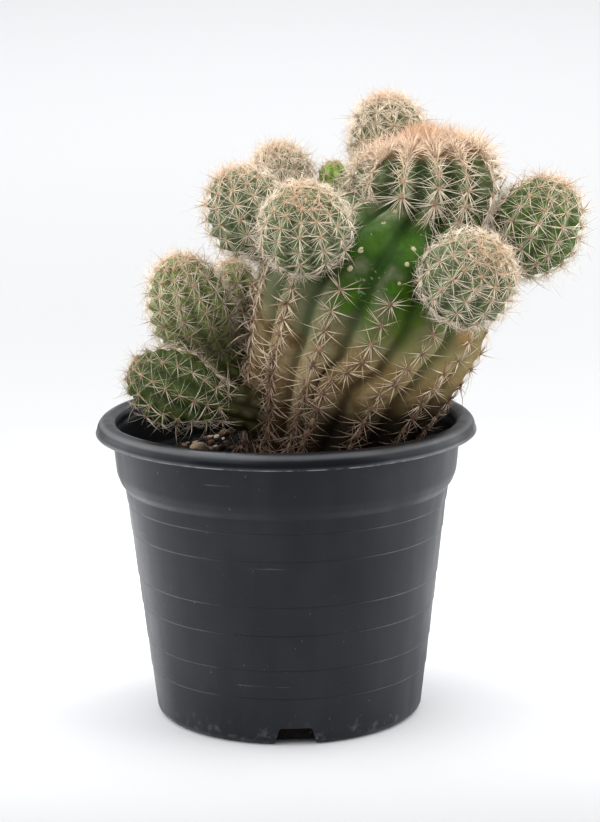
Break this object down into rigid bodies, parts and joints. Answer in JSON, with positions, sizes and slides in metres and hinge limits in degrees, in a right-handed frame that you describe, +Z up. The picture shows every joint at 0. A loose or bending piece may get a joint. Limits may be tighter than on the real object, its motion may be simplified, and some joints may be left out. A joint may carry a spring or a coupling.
{
  "type": "potted cactus",
  "caption": "Leaning ribbed cactus with rounded offsets on its sides and fine spines all over, growing in soil in a round black plastic nursery pot with drain notches.",
  "frame": {"origin": "centre of the pot's flat underside, on the pot's axis", "axes": "+Z up along the pot's axis; the plant's front, with the bare green shoulder, faces -Y; the old stem leans towards +X"},
  "size_m": [0.1388, 0.105, 0.1751],
  "materials": {
    "black_plastic": "satin",
    "soil": "matte",
    "old_stem_skin": "satin",
    "young_stem_skin": "satin"
  },
  "bodies": {
    "root": {"pot": "black_plastic", "soil": "soil", "stem_main": "old_stem_skin", "offset_front_left": "young_stem_skin", "offset_left": "young_stem_skin", "offset_back_left": "young_stem_skin", "offset_back_small": "young_stem_skin", "offset_top": "young_stem_skin", "offset_back_right": "young_stem_skin", "offset_right": "young_stem_skin", "offset_front_right": "young_stem_skin", "offset_basal_left": "young_stem_skin", "offset_basal_low": "young_stem_skin", "offset_basal_back": "young_stem_skin"}
  },
  "joints": []
}
